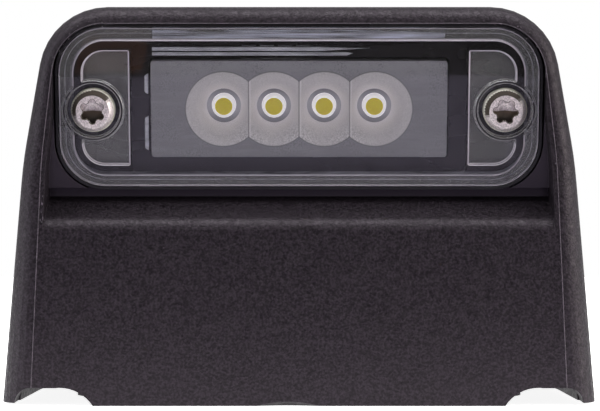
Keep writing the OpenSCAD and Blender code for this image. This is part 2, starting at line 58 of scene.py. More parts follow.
# The insert leans towards the base: its lean, its three directions and the middle of its cover's face
LEAN = math.radians(11.5)
ALONG = Vector((1, 0, 0))
UPWARD = Vector((0, -math.sin(LEAN), math.cos(LEAN)))
OUTWARD = Vector((0, -math.cos(LEAN), -math.sin(LEAN)))
FRONT_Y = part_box("housing")[0].y
INSERT_MIDDLE = Vector((0, FRONT_Y + 0.0028, 0.0451))

# Where the solids' back wall folds over itself in its own plane, and where those corners belong
BACK_PLEATS = (
    (Vector((0.025652, 0.009762, 0.046276)), Vector((0.02666, 0.010449, 0.043678))),
    (Vector((0.020894, 0.006664, 0.048912)), Vector((0.023778, 0.00819, 0.043144))),
)
PLEAT_REACH = 0.00001

# The parting line: how deep behind the front its edges may lie, where the foot ends, where the recess's
# upper corners begin, and how low on the front it ends
SEAM_DEPTH = 0.0015
FOOT_TOP = 0.03
CORNER_LOW = 0.0495
CORNER_SIDE = 0.0275
SEAM_LOW = 0.0025
# Scuffs and specks on the hood: across, up, half width and half height, all in millimetres
SCUFFS = (
    (-39.0, 34.0, 0.13, 0.12), (-38.75, 31.7, 0.07, 0.16), (-38.8, 30.55, 0.15, 0.24),
    (-38.55, 29.9, 0.06, 0.12), (-38.95, 29.3, 0.1, 0.08), (-38.7, 28.4, 0.1, 0.28),
    (-39.1, 28.1, 0.14, 0.2), (-38.85, 27.8, 0.12, 0.1), (-42.5, 21.2, 0.06, 0.05),
    (-41.1, 21.54, 0.07, 0.06), (-33.2, 33.85, 0.06, 0.05), (12.0, 14.2, 0.05, 0.05),
)
SCUFF_HEIGHT = 0.03
GATE_SCALE = (0.52, 0.45, 0.16)

# The cover screws: their place, the radii and depths of a head in the solids, and how each screw is turned
SCREW_SPOT = Vector((0.0314, -0.0004))
SOCKET_R = 0.00165
FLAT_R = 0.002108
HEAD_R = 0.0034
HEAD_DEPTH = 0.00215
SOCKET_DEPTH = 0.0021
SOCKET_TURN = {-1: 30, 1: -6}
MOUTH_REACH = 0.00196
MOUTH_BEVEL = 0.00009
COUNTERBORE_R = 0.0051

# The cover's raised field, half its size and the radius of its corners
FIELD_HALF = Vector((0.0344, 0.01))
FIELD_R = 0.0048

# The reflector's bowls, and how far its middle lies under the cover's
BOWL_PITCH = 0.00775
BOWL_R = 0.00578
OPTICS_DROP = 0.0005
BOWLS_HALF = 0.0176
THROAT_LEVEL = 0.00362

# The ribs and dashes over the reflector: its left end, its top, their level and the dashes' steps
BLOCK_LEFT = -0.0225
BLOCK_TOP = 0.00695
RIB_LEVEL = -0.0043
DASH_STEP = 0.00277
DASH_DROP = 0.00204
STRIP_HEIGHT = 0.00004

SENSOR = 36
FLOOR_R = 0.62
WHITE = (1.0, 1.0, 1.0)
# The inputs and the output of a mix node, by the kind of what it mixes
MIX_SOCKETS = {"FLOAT": (2, 3, 0), "VECTOR": (4, 5, 1), "RGBA": (6, 7, 2)}


def length(name, text, default, low=0.0, high=0.01):
    """A length property in metres."""
    return FloatProperty(
        name=name, description=text, default=default, min=low, max=high,
        precision=5, subtype="DISTANCE", unit="LENGTH",
    )


def share(name, text, default, high=1.0):
    """A plain number from nought to high."""
    return FloatProperty(name=name, description=text, default=default, min=0.0, max=high)


def colour(name, text, default):
    """A colour property."""
    return FloatVectorProperty(
        name=name, description=text, default=default, size=3, min=0.0, max=1.0, subtype="COLOR",
    )


class LampHousingSettings(PropertyGroup):
    """Sizes and colours of the moulded hood."""

    colour: colour("Plastic colour", "Colour of the black plastic", (0.0064, 0.0048, 0.0066))
    polish: colour("Polished colour", "Colour of the polished recess floor", (0.036, 0.03, 0.039))
    edge: length("Edge radius", "Radius to which the moulding's small edges are shaded", 0.00018)
    grain: length("Grain size", "Size of one bump of the moulded grain", 0.00034)
    grain_height: length("Grain height", "Height of the moulded grain", 0.00006)
    flash: length("Flash radius", "Half thickness of the flash on the parting line", 0.00007)
    crumbs: IntProperty(
        name="Flash crumbs", description="Loose bits on the parting line", default=46, min=0, max=200)


class LampInsertSettings(PropertyGroup):
    """Sizes and colours of the clear cover, its tray and the optics."""

    cover_edge: length("Cover edge radius", "Radius of the cover's moulded edges", 0.00014)
    field_rise: length("Field rise", "How much further up and down the cover's raised field reaches", 0.00042)
    clear: colour("Clear plastic", "Tint of the clear plastic", (0.97, 0.975, 0.985))
    # The edge colour is a painted highlight along the cover's rounded edges, and a faint haze on its lowered
    # border and pockets
    edge_sheen_and_haze: colour("Edge sheen and haze", "Colour of the cover's hazy edges", (0.62, 0.57, 0.65))
    edge_share: share("Edge share", "Share of the light that the hazy edges scatter", 0.7)
    tray: colour("Tray plastic", "Colour of the smooth black tray", (0.0068, 0.0062, 0.0074))
    frosted: colour("Frosted grey", "Colour of the reflector's face", (0.272, 0.264, 0.288))
    bowl: colour("Bowl grey", "Colour of the reflector's bowls", (0.675, 0.64, 0.65))
    throat: colour("Throat grey", "Colour of the polished ring round each source", (0.36, 0.36, 0.39))
    body_white: colour("Source white", "Colour of the light source's body", (0.95, 0.93, 0.94))
    # A painted glow: emission that brightens the white body though the lamp is off
    painted_glow: share("Source glow", "Light that the white body gives back over its own colour", 0.33)
    phosphor: colour("Phosphor", "Colour of the phosphor", (0.98, 0.75, 0.045))
    floor_haze: share("Floor haze", "Haze of the lowered border and pockets", 0.13)
    seam: colour("Weld seam", "Colour of the weld seam under the cover's border", (0.12, 0.12, 0.14))


class LampMetalSettings(PropertyGroup):
    """Colours of the screws and inserts, and how much wider the screws' sockets and flats are made."""

    stainless: colour("Stainless steel", "Colour of the cover screws", (0.68, 0.615, 0.625))
    # Painted shade: the dark colour of the shoulder's upper left, the socket's mouth and the socket's lower
    # half
    tarnish: colour("Tarnish", "Colour of the stained shoulder and socket", (0.03, 0.021, 0.014))
    # A paler, yellower metal on the rim of a screw: a painted highlight
    rim_highlight: colour("Painted rim highlight", "Colour of the rim of a screw", (0.98, 0.95, 0.85))
    brass: colour("Brass", "Colour of the threaded inserts", (0.72, 0.52, 0.24))
    socket_out: share("Socket widening", "Width of the socket, where the solids' is one", 1.15, 2.0)
    flat_out: share("Flat widening", "Width of the head's flat, where the solids' is one", 1.21, 2.0)
    tinned: colour("Tinned metal", "Colour of the posts", (0.62, 0.62, 0.6))


class LampStageSettings(PropertyGroup):
    """The floor, the light and the camera."""

    floor: colour("Floor", "Colour of the floor", (0.86, 0.86, 0.86))
    glow: share("Glow", "Brightness of the light table from below", 0.9, 2.0)
    card: colour("Grey card", "Colour of the card in front", (0.17, 0.148, 0.205))
    dark_card: colour("Dark card", "Colour of the card further in front", (0.014, 0.0105, 0.0095))
    warm_card: colour("Warm card", "Colour of the card that the window's corner mirrors", (0.1, 0.04, 0.016))
    front: share("Front", "Brightness of the surround in front", 0.54, 5.0)
    back: share("Back", "Brightness of the surround behind", 0.45, 5.0)
    overhead: share("Overhead", "Brightness of the overhead softbox", 7.2, 100.0)
    right: share("Right", "Brightness of the right softbox", 6.3, 100.0)
    left: share("Left", "Brightness of the left softbox", 2.9, 100.0)
    rear: share("Rear", "Brightness of the softbox behind", 0.4, 100.0)
    distance: length("Camera distance", "Distance from the lamp's face to the camera", 0.35, 0.1, 2.0)
    eye_level: length("Camera height", "Height of the camera over the base", 0.0303, 0.0, 1.0)
    pixels: FloatProperty(
        name="Focal length", description="Focal length in picture widths", default=3.8632, min=0.5, max=10)


# Mesh tools

def go(mode):
    """Goes to edit or object mode."""
    bpy.ops.object.mode_set(mode=mode)


def deselect():
    """Deselects every object."""
    bpy.ops.object.select_all(action="DESELECT")


def activate(piece, *others):
    """Selects an object, alone or with others, and makes it active."""
    if bpy.context.object and bpy.context.object.mode != "OBJECT":
        go("OBJECT")
    deselect()
    for each in (piece, *others):
        each.select_set(True)
    bpy.context.view_layer.objects.active = piece


def select(action="SELECT"):
    """Selects all of the mesh in edit mode, or as the action says."""
    bpy.ops.mesh.select_all(action=action)


def named(name):
    """The primitive just added, under its name."""
    bpy.context.object.name = name
    return bpy.context.object


def apply_place():
    """Applies the place, turn and scale of the selected object to its mesh."""
    bpy.ops.object.transform_apply(location=True, rotation=True, scale=True)


def joined(pieces, name):
    """Several pieces joined into the first of them."""
    activate(*pieces)
    bpy.ops.object.join()
    pieces[0].name = name
    return pieces[0]


def copy_of(node, name, merge=0.000002, flatten=0.4, moves=()):
    """A new piece with a CAD node's mesh, its triangles merged and its flat faces made whole."""
    piece = bpy.data.objects.new(name, NODES[node].data.copy())
    bpy.context.scene.collection.objects.link(piece)
    piece.data.materials.clear()
    for old, new in moves:
        for vertex in piece.data.vertices:
            if (Vector((abs(vertex.co.x), *vertex.co.yz)) - old).length < PLEAT_REACH:
                vertex.co = Vector((math.copysign(new.x, vertex.co.x), *new.yz))
    activate(piece)
    bpy.ops.mesh.customdata_custom_splitnormals_clear()
    go("EDIT")
    select()
    bpy.ops.mesh.remove_doubles(threshold=merge)
    bpy.ops.mesh.mark_sharp(clear=True)
    if flatten:
        bpy.ops.mesh.dissolve_limited(angle_limit=math.radians(flatten))
    bpy.ops.mesh.normals_make_consistent(inside=False)
    select("DESELECT")
    go("OBJECT")
    return piece


def apply_modifier(piece, kind, name, **values):
    """Adds a modifier to a piece and applies it."""
    activate(piece)
    modifier = piece.modifiers.new(name, kind)
    for key, value in values.items():
        setattr(modifier, key, value)
    bpy.ops.object.modifier_apply(modifier=modifier.name)


def round_edges(piece, radius, segments=2, angle=35.0):
    """Rounds every edge sharper than an angle, with a bevel that is applied."""
    apply_modifier(
        piece, "BEVEL", "Rounded edges", width=radius, segments=segments, limit_method="ANGLE",
        angle_limit=math.radians(angle), use_clamp_overlap=False, miter_outer="MITER_ARC",
    )


def finish(piece, replaces, material, smooth=0.0):
    """Shades a piece with even flats, gives it its material and hands it to the frame."""
    activate(piece)
    if smooth:
        bpy.ops.object.shade_smooth_by_angle(angle=math.radians(smooth))
        apply_modifier(piece, "WEIGHTED_NORMAL", "Even flats", keep_sharp=True, weight=80)
    piece.data.materials.clear()
    piece.data.materials.append(material)
    if replaces:
        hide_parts(*replaces)
    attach(piece, "root")


def select_edges(piece, test):
    """Selects the edges that pass a test, in edit mode."""
    go("EDIT")
    bpy.ops.mesh.select_mode(type="EDGE")
    select("DESELECT")
    picked = [edge for edge in bmesh.from_edit_mesh(piece.data).edges if test(edge)]
    for edge in picked:
        edge.select_set(True)
    bmesh.update_edit_mesh(piece.data)
    if not picked:
        raise RuntimeError(f"nothing to select on {piece.name}")


def on_insert(point):
    """A point's place on the insert's face, across and upwards from the cover's middle."""
    return Vector((point.x, UPWARD.dot(point - INSERT_MIDDLE)))


def from_screw(point):
    """The distance of a point from the axis of its nearer screw."""
    spot = on_insert(point)
    return (Vector((abs(spot.x), spot.y)) - SCREW_SPOT).length


def from_insert(across, up, level):
    """The point at a place on the insert's face, at a level outwards from the cover's face."""
    return INSERT_MIDDLE + ALONG * across + UPWARD * up + OUTWARD * level


def outermost(piece):
    """The level of a piece's outermost point, outwards over the insert."""
    return max(OUTWARD.dot(vertex.co) for vertex in piece.data.vertices)


def thicken(shift):
    """Gives the face in edit mode a thickness, and leaves edit mode."""
    select()
    bpy.ops.mesh.extrude_region_move(TRANSFORM_OT_translate={"value": tuple(shift)})
    select()
    bpy.ops.mesh.normals_make_consistent(inside=False)
    go("OBJECT")


def bar(name, corners, level, height):
    """A thin bar on the insert, from its outline, the level of its back and its height."""
    deselect()
    bpy.ops.mesh.primitive_circle_add(
        vertices=len(corners), radius=0.001, fill_type="NGON", location=(0, 0, 0))
    piece = named(name)
    for vertex, (across, up) in zip(piece.data.vertices, corners):
        vertex.co = from_insert(across, up, level)
    go("EDIT")
    thicken(OUTWARD * height)
    round_edges(piece, height * 0.25, 2, 40.0)
    return piece


def plate(name, wide, deep, spot=(0, 0, 0)):
    """A flat rectangle about a place."""
    deselect()
    bpy.ops.mesh.primitive_plane_add(size=1.0, location=(0, 0, 0))
    piece = named(name)
    piece.scale = (wide, deep, 1.0)
    piece.location = spot
    apply_place()
    return piece


def ring_strip(name, half_wide, half_high, radius, width, level):
    """A flat strip of a width that runs round the insert as a rounded rectangle."""
    piece = plate(name, 2 * half_wide, 2 * half_high)
    go("EDIT")
    bpy.ops.mesh.select_mode(type="VERT")
    select()
    bpy.ops.mesh.bevel(offset=radius, segments=12, affect="VERTICES")
    select()
    bpy.ops.mesh.inset(thickness=width, use_boundary=True)
    bpy.ops.mesh.delete(type="FACE")
    thicken((0, 0, STRIP_HEIGHT))
    for vertex in piece.data.vertices:
        vertex.co = from_insert(vertex.co.x, vertex.co.y, level + vertex.co.z)
    return piece


def mark_faces(piece, name, test):
    """Writes each face's value from a test into an attribute, for the piece's material."""
    mark = piece.data.attributes.new(name, "FLOAT", "CORNER")
    for polygon in piece.data.polygons:
        value = float(test(polygon))
        for corner in polygon.loop_indices:
            mark.data[corner].value = value


# Material tools

def tone(values, factor):
    """A colour made lighter or darker."""
    return tuple(min(1.0, v * factor) for v in tuple(values)[:3])


class Graph:
    """The nodes of a material or a world, with short ways to add and to link them."""

    def __init__(self, owner):
        owner.use_nodes = True
        self.owner = owner
        self.tree = owner.node_tree

    def feed(self, socket, value):
        """Links an output to a socket, or gives the socket a plain value."""
        if isinstance(value, NodeSocket):
            self.tree.links.new(value, socket)
        elif socket.type == "RGBA":
            socket.default_value = (*tuple(value)[:3], 1.0)
        else:
            socket.default_value = value

    def node(self, kind, **values):
        """A new node with its settings and inputs, whose names have _ for a space."""
        made = self.tree.nodes.new("ShaderNode" + kind)
        for key, value in values.items():
            if hasattr(made, key):
                setattr(made, key, value)
            else:
                self.feed(made.inputs[key.replace("_", " ")], value)
        return made

    def dress(self, **values):
        """Feeds the inputs of the material's shader, and returns the material."""
        shader = self.tree.nodes["Principled BSDF"]
        for key, value in values.items():
            self.feed(shader.inputs[key.replace("_", " ")], value)
        return self.owner

    def place(self):
        """The place in object space."""
        return self.node("TexCoord").outputs["Object"]

    def attribute(self, name):
        """What mark_faces wrote under a name."""
        return self.node("Attribute", attribute_name=name).outputs["Fac"]

    def noise(self, size, detail=2.0, roughness=0.5, distortion=0.0, stretch=None):
        """A noise pattern in object space, with cells of about the given size in metres."""
        source = self.place()
        if stretch:
            source = self.node("Mapping", Scale=stretch, Vector=source).outputs["Vector"]
        return self.node(
            "TexNoise", Vector=source, Scale=1.0 / size, Detail=detail, Roughness=roughness,
            Distortion=distortion,
        ).outputs["Fac"]

    def remap(self, source, low, high, out_low=0.0, out_high=1.0):
        """Carries one range of values to another and clamps it."""
        return self.node(
            "MapRange", Value=source, From_Min=low, From_Max=high, To_Min=out_low, To_Max=out_high,
        ).outputs["Result"]

    def mixed(self, factor, first, second, kind="RGBA"):
        """A blend of two colours, or of two values or vectors."""
        made = self.node("Mix", data_type=kind)
        one, two, out = MIX_SOCKETS[kind]
        for index, value in ((0, factor), (one, first), (two, second)):
            self.feed(made.inputs[index], value)
        return made.outputs[out]

    def tones(self, pattern, low, high, base, dark, light):
        """Two tones of a colour, blended as a pattern goes from low to high."""
        return self.mixed(self.remap(pattern, low, high), tone(base, dark), tone(base, light))

    def over(self, under, top, pattern, *ranges):
        """A colour laid over another as far as the remapped pattern says."""
        return self.mixed(self.remap(pattern, *ranges), under, top)

    def maths(self, operation, *values, kind="Math"):
        """The result of a calculation with values or outputs."""
        made = self.node(kind, operation=operation)
        for socket, value in zip(made.inputs, values):
            self.feed(socket, value)
        return made.outputs["Value"]

    def times(self, first, second):
        """The product of two values or outputs."""
        return self.maths("MULTIPLY", first, second)

    def apart(self, first, second):
        """How far apart two values or outputs are."""
        return self.maths("ABSOLUTE", self.maths("SUBTRACT", first, second))

    def bump(self, height, depth, below=None):
        """A bump of a height pattern, over another normal if one is given."""
        made = self.node("Bump", Strength=1.0, Distance=depth, Height=height)
        if below:
            self.feed(made.inputs["Normal"], below)
        return made.outputs["Normal"]

    def soft_edge(self, radius):
        """A normal that rounds the edges at render time."""
        return self.node("Bevel", samples=6, Radius=radius).outputs["Normal"]

    def worn(self, shade, radius, bare):
        """A colour with a paler one worn into it along the edges."""
        flat = self.node("NewGeometry").outputs["Normal"]
        turn = self.maths("DOT_PRODUCT", self.soft_edge(radius), flat, kind="VectorMath")
        return self.over(shade, bare, turn, 0.995, 0.8, 0.0, 0.4)

    def upwards(self, middle, low, high, out_low=0.0, out_high=1.0):
        """Carries the way up the insert's face from a middle, between two places, to a range."""
        height = self.maths("DOT_PRODUCT", self.place(), tuple(UPWARD), kind="VectorMath")
        return self.remap(height, middle + low, middle + high, out_low, out_high)

    def height(self, middle):
        """The way up the insert's face from a middle."""
        return self.upwards(middle, -0.1, 0.1, -0.1, 0.1)

    def across(self):
        """The place across the piece, from its middle."""
        return self.node("SeparateXYZ", Vector=self.place()).outputs["X"]

    def beside_lines(self, pitch, shift=0.0):
        """The distance across the piece from the nearest of a row of upright lines."""
        return self.maths("PINGPONG", self.maths("SUBTRACT", self.across(), shift), pitch / 2)

    def from_bowl(self, middle):
        """The distance of a place from the axis of the nearest of the four bowls."""
        side = self.maths("ABSOLUTE", self.across())
        inner, outer = (self.apart(side, BOWL_PITCH * steps) for steps in (0.5, 1.5))
        arm = self.node("CombineXYZ", X=self.maths("MINIMUM", inner, outer), Y=self.height(middle))
        return self.maths("LENGTH", arm.outputs[0], kind="VectorMath")


def new_graph(name):
    """The nodes of a new material."""
    return Graph(bpy.data.materials.new(name))


def black_grained(settings):
    """Black plastic with a fine moulded grain, polished on the recess floor and paler along its edges."""
    graph = new_graph("Grained black plastic")
    polished = graph.attribute("polished")
    grain = graph.noise(settings.grain)
    pits = graph.noise(settings.grain * 2.2, 3.0, 0.6)
    cloud = graph.noise(0.011, 3.0, 0.55)
    base = settings.colour
    clouded = graph.tones(cloud, 0.3, 0.7, base, 0.8, 1.2)
    shade = graph.mixed(0.75, clouded, graph.tones(grain, 0.38, 0.66, base, 0.1, 3.2))
    shade = graph.mixed(polished, shade, settings.polish)
    edge = graph.soft_edge(settings.edge)
    rugged = graph.bump(grain, settings.grain_height, edge)
    rugged = graph.bump(pits, settings.grain_height * 1.3, rugged)
    rough = graph.remap(pits, 0.35, 0.65, 0.36, 0.62)
    return graph.dress(
        Base_Color=graph.worn(shade, settings.edge, tone(base, 2.6)),
        Roughness=graph.mixed(polished, rough, 0.16, "FLOAT"),
        Normal=graph.mixed(polished, rugged, edge, "VECTOR"),
        Specular_IOR_Level=0.25, Specular_Tint=(1.0, 0.88, 1.0),
    )


def smooth_black(settings):
    """Smooth black plastic with faint flow marks and fine scuffs."""
    graph = new_graph("Smooth black plastic")
    flow = graph.noise(0.004, 2.0, 0.5, 0.6, (0.25, 1.0, 1.0))
    fine = graph.noise(0.00025)
    edge = 0.0001
    shade = graph.tones(flow, 0.3, 0.7, settings.tray, 0.85, 1.2)
    return graph.dress(
        Base_Color=graph.worn(shade, edge, tone(settings.tray, 5.0)),
        Roughness=graph.remap(flow, 0.3, 0.7, 0.2, 0.32),
        Normal=graph.bump(fine, 0.0000007, graph.soft_edge(edge)),
    )


def clear_plastic(settings):
    """Clear polished plastic with faint waves, specks of dust and hazy moulded edges whose pale colour is a
    painted highlight.
    """
    graph = new_graph("Clear plastic")
    edge = graph.attribute("edge")
    wave = graph.noise(0.006, 1.0, 0.4, 0.0, (0.4, 1.0, 1.0))
    dust = graph.noise(0.0005, 2.0, 0.6)
    shade = graph.over(settings.clear, tone(settings.clear, 0.7), dust, 0.72, 0.8, 0.0, 0.3)
    return graph.dress(
        Base_Color=graph.mixed(edge, shade, settings.edge_sheen_and_haze), IOR=1.49,
        Transmission_Weight=graph.remap(edge, 0.0, 1.0, 1.0, 1.0 - settings.edge_share),
        Roughness=graph.remap(edge, 0.0, 1.0, 0.0, 0.12), Normal=graph.bump(wave, 0.000006),
    )


def frosted_grey(settings):
    """Frosted face of the reflector, with paler, sparkling bowls, painted light along the face's top and by
    the throats, and a painted reflection in the throats.
    """
    graph = new_graph("Frosted grey")
    throat_mark = graph.attribute("throat")
    grit = graph.noise(0.00022, 2.0, 0.6)
    cloud = graph.noise(0.0035, 4.0, 0.65)
    scratch = graph.noise(0.0009, 3.0, 0.6, 0.0, (0.12, 1.0, 1.0))
    middle = UPWARD.dot(INSERT_MIDDLE) - OPTICS_DROP
    radius = graph.from_bowl(middle)
    face, bowl = settings.frosted, settings.bowl
    # The face: painted light along its top, with patches of fine dark speckle and level scratches
    plain = graph.tones(cloud, 0.3, 0.7, face, 0.88, 1.14)
    plain = graph.over(plain, tone(face, 1.35), scratch, 0.45, 0.7, 0.0, 0.35)
    plain = graph.mixed(graph.upwards(middle, 0.0035, 0.0068, 0.0, 0.8), plain, tone(face, 1.5))
    speckle = graph.times(graph.remap(grit, 0.42, 0.5, 1.0, 0.0), graph.remap(cloud, 0.42, 0.6, 0.0, 0.6))
    plain = graph.mixed(speckle, plain, tone(face, 0.6))
    # The bowls: paler, and palest by their throats, where the paler colour is painted light against the shade
    # deep in the bowls
    hollow = graph.tones(grit, 0.35, 0.65, bowl, 0.9, 1.08)
    hollow = graph.over(hollow, tone(bowl, 1.35), radius, 0.0027, 0.0043, 0.8, 0.0)
    # Coarse grains low in the bowls and beside the ridges between them
    low_down = graph.upwards(middle, -0.0046, -0.002, 1.0, 0.0)
    to_ridge = graph.beside_lines(BOWL_PITCH)
    from_middle = graph.beside_lines(8 * BOWL_PITCH)
    coarse = graph.times(low_down, graph.remap(to_ridge, 0.0008, 0.003, 1.0, 0.3))
    coarse = graph.times(coarse, graph.remap(from_middle, 0.0092, 0.0118, 1.0, 0.2))
    grains = graph.noise(0.00024, 1.0)
    pale_grain = graph.times(coarse, graph.remap(grains, 0.54, 0.64, 0.0, 0.7))
    dark_grain = graph.times(coarse, graph.remap(grains, 0.46, 0.36, 0.0, 0.5))
    hollow = graph.mixed(pale_grain, hollow, (0.95, 0.92, 0.92))
    hollow = graph.mixed(dark_grain, hollow, tone(bowl, 0.4))
    # The ridges themselves: a thin dark line with a paler one beside it
    inner = graph.maths("LESS_THAN", from_middle, 1.2 * BOWL_PITCH)
    ridge = graph.times(inner, graph.remap(to_ridge, 0.00005, 0.00013, 0.75, 0.0))
    beside = graph.beside_lines(BOWL_PITCH, 0.00024)
    paler = graph.times(inner, graph.remap(beside, 0.00006, 0.00016, 0.5, 0.0))
    hollow = graph.mixed(paler, hollow, tone(bowl, 1.5))
    hollow = graph.mixed(ridge, hollow, tone(bowl, 0.3))
    # The bowls' outline, a thin darker line
    shade = graph.over(plain, hollow, radius, BOWL_R - 0.00004, BOWL_R + 0.00004, 1.0, 0.0)
    shade = graph.over(shade, tone(face, 0.4), graph.apart(radius, BOWL_R), 0.00004, 0.00014, 0.6, 0.0)
    # The throats: a painted reflection, darker above and below, lighter at both sides
    rise = graph.maths("ABSOLUTE", graph.height(middle))
    throat = graph.tones(rise, 0.0008, 0.0026, settings.throat, 1.2, 0.62)
    return graph.dress(
        Base_Color=graph.mixed(throat_mark, shade, throat),
        Roughness=graph.remap(throat_mark, 0.0, 1.0, 0.45, 0.24), Normal=graph.bump(grit, 0.00003),
    )


def pitted_steel(settings):
    """Stainless steel, pitted on its flat, with painted shade on its shoulder and socket and a painted
    highlight on its rim.
    """
    graph = new_graph("Pitted stainless steel")
    socket, tarnish, rim = (graph.attribute(name) for name in ("socket", "tarnish", "rim"))
    pits = graph.noise(0.00022, 3.0, 0.6)
    dents = graph.noise(0.0011, 3.0, 0.6, 0.6)
    base = settings.stainless
    shade = graph.tones(pits, 0.38, 0.62, base, 0.7, 1.25)
    shade = graph.over(shade, tone(base, 0.45), dents, 0.56, 0.7, 0.0, 0.6)
    # The socket's lower half carries painted shade, darker towards its foot
    middle = UPWARD.dot(INSERT_MIDDLE) + SCREW_SPOT.y
    shaded_socket = graph.times(socket, graph.upwards(middle, -0.00012, 0.0, 1.0, 0.0))
    socket_shade = graph.mixed(
        graph.upwards(middle, -0.0014, 0.0), tone(settings.tarnish, 0.9), tone(settings.tarnish, 3.6))
    shade = graph.mixed(shaded_socket, shade, socket_shade)
    # Painted shade on the shoulder's upper left and on the socket's mouth
    shade = graph.mixed(tarnish, shade, settings.tarnish)
    unshaded = graph.maths("SUBTRACT", 1.0, graph.maths("MAXIMUM", tarnish, shaded_socket))
    rough = graph.remap(pits, 0.35, 0.65, 0.42, 0.56)
    return graph.dress(
        # The rim takes the colour of the painted highlight
        Base_Color=graph.mixed(rim, shade, settings.rim_highlight),
        Metallic=graph.remap(unshaded, 0.0, 1.0, 0.1, 0.8),
        Roughness=graph.maths("MAXIMUM", rough, graph.times(tarnish, 0.8)),
        Normal=graph.bump(dents, 0.00004, graph.bump(pits, 0.000035)),
    )


def patterned(name, cells, tones, rough, depth, relief=None, **values):
    """A material whose tones, roughness and bump follow one noise; the bump may have its own."""
    graph = new_graph(name)
    pattern = graph.noise(*cells)
    return graph.dress(
        Base_Color=graph.tones(pattern, *tones), Roughness=graph.remap(pattern, 0.3, 0.7, *rough),
        Normal=graph.bump(graph.noise(*relief) if relief else pattern, depth), **values)


def flash_plastic(settings):
    """The torn, paler plastic of a thin flash."""
    return patterned(
        "Moulding flash", (0.0006, 3.0, 0.7), (0.35, 0.65, settings.colour, 3.0, 12.0), (0.35, 0.6), 0.00002)


def streaked(name, base, low=0.6, high=1.5, stretch=0.12):
    """Pale plastic with streaks along the insert, as left by a weld or by moulding; it also colours the
    painted reflection under the cover's top and the painted glint of the ribs.
    """
    return patterned(
        name, (0.0008, 3.0, 0.6, 0.0, (stretch, 1.0, 1.0)), (0.36, 0.64, base, low, high), (0.2, 0.45),
        0.00001, relief=(0.0002,))


def white_body(settings):
    """White moulding of a light source, with a painted glow that brightens it though the lamp is off."""
    return patterned(
        "Source white", (0.0006,), (0.3, 0.7, settings.body_white, 0.92, 1.05), (0.28, 0.42), 0.000006,
        Emission_Color=(1.0, 0.98, 1.0), Emission_Strength=settings.painted_glow)


def yellow_phosphor(settings):
    """Yellow silicone, finely grained by its phosphor."""
    return patterned(
        "Phosphor", (0.00012,), (0.3, 0.7, settings.phosphor, 0.85, 1.18), (0.3, 0.5), 0.00001,
        Subsurface_Weight=0.15, Subsurface_Radius=(0.0006, 0.0004, 0.0001))


def metal(name, base, rough, size):
    """A plain machined or tinned metal with fine marks."""
    return patterned(
        name, (size, 3.0, 0.6, 0.0, (1.0, 1.0, 4.0)), (0.3, 0.7, base, 0.75, 1.1), (rough, rough + 0.15),
        size * 0.03, Metallic=1.0)


def dull(name, base, rough, size, depth):
    """A plastic, rubber or ceramic with two shades and a fine bump."""
    graph = new_graph(name)
    cells = graph.noise(size, 3.0, 0.6)
    shade = graph.tones(graph.noise(size * 12), 0.3, 0.7, base, 0.85, 1.2)
    return graph.dress(
        Base_Color=graph.over(shade, tone(base, 1.6), cells, 0.55, 0.7, 0.0, 0.4),
        Roughness=graph.remap(cells, 0.3, 0.7, rough - 0.06, rough + 0.08), Normal=graph.bump(cells, depth))


def matt(name, base, size, dark, light, **values):
    """A matt surface of the stage with a faint cloud in its colour."""
    graph = new_graph(name)
    shade = graph.mixed(graph.noise(size), tone(base, dark), tone(base, light))
    return graph.dress(Base_Color=shade, Roughness=0.9, **values)


def paint(material, *nodes):
    """Gives CAD nodes that stay in view their material."""
    for name in nodes:
        materials = NODES[name].data.materials
        if not materials:
            materials.append(material)
        for index in range(len(materials)):
            materials[index] = material


# Operators: one for each piece or group of like pieces

class LAMP_OT_housing(Operator):
    """Finishes the hood: merged, smoothly shaded and grained"""

    bl_idname = "lamp.housing"
    bl_label = "Hood"

    def execute(self, context):
        hood = copy_of("housing", "hood", 0.000005, 0.05, BACK_PLEATS)

        def on_recess_floor(face):
            """The polished floor round the insert, which leans as the insert does."""
            return face.normal.dot(OUTWARD) > 0.99999 and face.center.z > FOOT_TOP

        mark_faces(hood, "polished", on_recess_floor)
        material = black_grained(context.scene.lamp_housing)
        finish(hood, ["housing"], material, 32.0)
        return {"FINISHED"}


